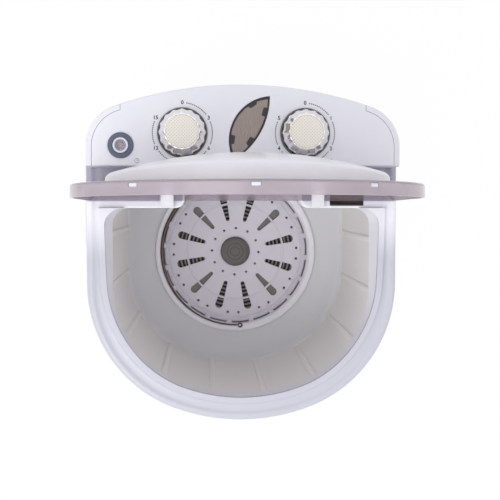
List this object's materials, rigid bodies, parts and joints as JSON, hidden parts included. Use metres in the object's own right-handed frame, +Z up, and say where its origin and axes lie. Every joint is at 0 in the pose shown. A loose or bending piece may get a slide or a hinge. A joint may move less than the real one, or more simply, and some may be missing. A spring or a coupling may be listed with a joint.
{
  "type": "mini washing machine",
  "caption": "Free-standing top-loading mini washing machine with a hinged smoke lid, round washing tub, lift-out spin basket and rotary timers on a raised rear panel.",
  "frame": {"origin": "on the floor plane, under the middle of the whole object's width and depth", "axes": "+X to the right as the user stands in front, +Y to the back where the control panel is, +Z up"},
  "size_m": [0.3534, 0.3956, 0.7144],
  "materials": {
    "white_shell": "gloss white moulding",
    "white_trim": "gloss white moulding",
    "tub_liner": "satin warm grey moulding",
    "basket": "satin pale grey moulding",
    "dark_plastic": "satin dark moulding",
    "black_plastic": "matt black moulding",
    "smoke_clear": "clear smoke moulding",
    "smoke_window": "clear smoke moulding",
    "chrome_trim": "bright chrome plating",
    "pearl": "pearl insert",
    "blue_grey": "soft ring",
    "rubber_dark": "matt rubber",
    "steel": "turned steel",
    "zinc": "zinc plated sheet",
    "grey_housing": "cast and machined",
    "aluminium": "die cast",
    "copper": "enamelled copper winding",
    "capacitor_can": "moulded can",
    "bronze": "sintered bronze"
  },
  "bodies": {
    "root": {"cabinet": "white_shell", "rear_cover": "white_shell", "rear_cover_screws": "steel", "base_plate": "dark_plastic", "feet": "rubber_dark", "wash_tub": "tub_liner", "drain_manifold": "dark_plastic", "overflow_duct": "dark_plastic", "top_collar": "white_shell", "control_head": "white_shell", "control_panel": "white_shell", "leaf_window": "smoke_window", "window_clips": "black_plastic", "inlet_ring": "blue_grey", "inlet_nozzle": "white_trim", "inlet_hose": "rubber_dark", "hinge_brackets": "white_trim", "grip_cups": "white_shell", "cord_gland": "black_plastic", "capacitor": "capacitor_can", "capacitor_clamp": "zinc", "terminal_block": "white_trim", "motor_mounts": "rubber_dark", "motor_bracket": "zinc", "motor_housing": "aluminium", "motor_stator": "grey_housing", "motor_windings": "copper", "motor_bearings": "steel", "motor_screws": "steel", "drive_belt": "rubber_dark", "shaft_housing": "aluminium", "drive_bushes": "bronze", "shaft_seal": "rubber_dark", "housing_screws": "steel", "wash_timer": "white_trim", "wash_bezel": "dark_plastic", "spin_timer": "white_trim", "spin_bezel": "dark_plastic"},
    "drive": {"drive_shaft": "steel", "drive_pulley": "aluminium", "pulley_bolt": "steel", "pulsator": "dark_plastic"},
    "rotor": {"motor_rotor": "grey_housing", "motor_shaft": "steel", "motor_fan": "black_plastic", "motor_pulley": "aluminium"},
    "basket": {"spin_basket": "basket", "hub_cap": "dark_plastic", "basket_wire": "steel"},
    "wash_control": {"wash_knob": "chrome_trim", "wash_knob_insert": "pearl", "wash_timer_shaft": "steel"},
    "spin_control": {"spin_knob": "chrome_trim", "spin_knob_insert": "pearl", "spin_timer_shaft": "steel"},
    "lid": {"lid_frame": "smoke_clear", "lid_dome": "white_trim", "lid_arms": "white_trim", "lid_clips": "white_trim", "hinge_pins": "steel"}
  },
  "joints": [
    {"name": "lid_hinge", "type": "hinge", "parent": "root", "child": "lid", "pos_m": [0, 0.067, 0.454], "axis": [1, 0, 0], "range_deg": [0, 91]},
    {"name": "wash_timer_turn", "type": "hinge", "parent": "root", "child": "wash_control", "pos_m": [-0.065, 0.121, 0.477], "axis": [0, 0, -1], "range_deg": [0, 300]},
    {"name": "spin_timer_turn", "type": "hinge", "parent": "root", "child": "spin_control", "pos_m": [0.065, 0.121, 0.477], "axis": [0, 0, -1], "range_deg": [0, 300]},
    {"name": "drive_turn", "type": "hinge", "parent": "root", "child": "drive", "pos_m": [0, -0.021, 0.03], "axis": [0, 0, 1], "continuous": true},
    {"name": "motor_turn", "type": "hinge", "parent": "root", "child": "rotor", "pos_m": [0, 0.084, 0.03], "axis": [0, 0, 1], "continuous": true},
    {"name": "basket_lift", "type": "slide", "parent": "drive", "child": "basket", "axis": [0, 0, 1], "range_m": [0, 0.2]}
  ],
  "couplings": [
    {"joint": "motor_turn", "follows": "drive_turn", "ratio": 5.2044}
  ]
}
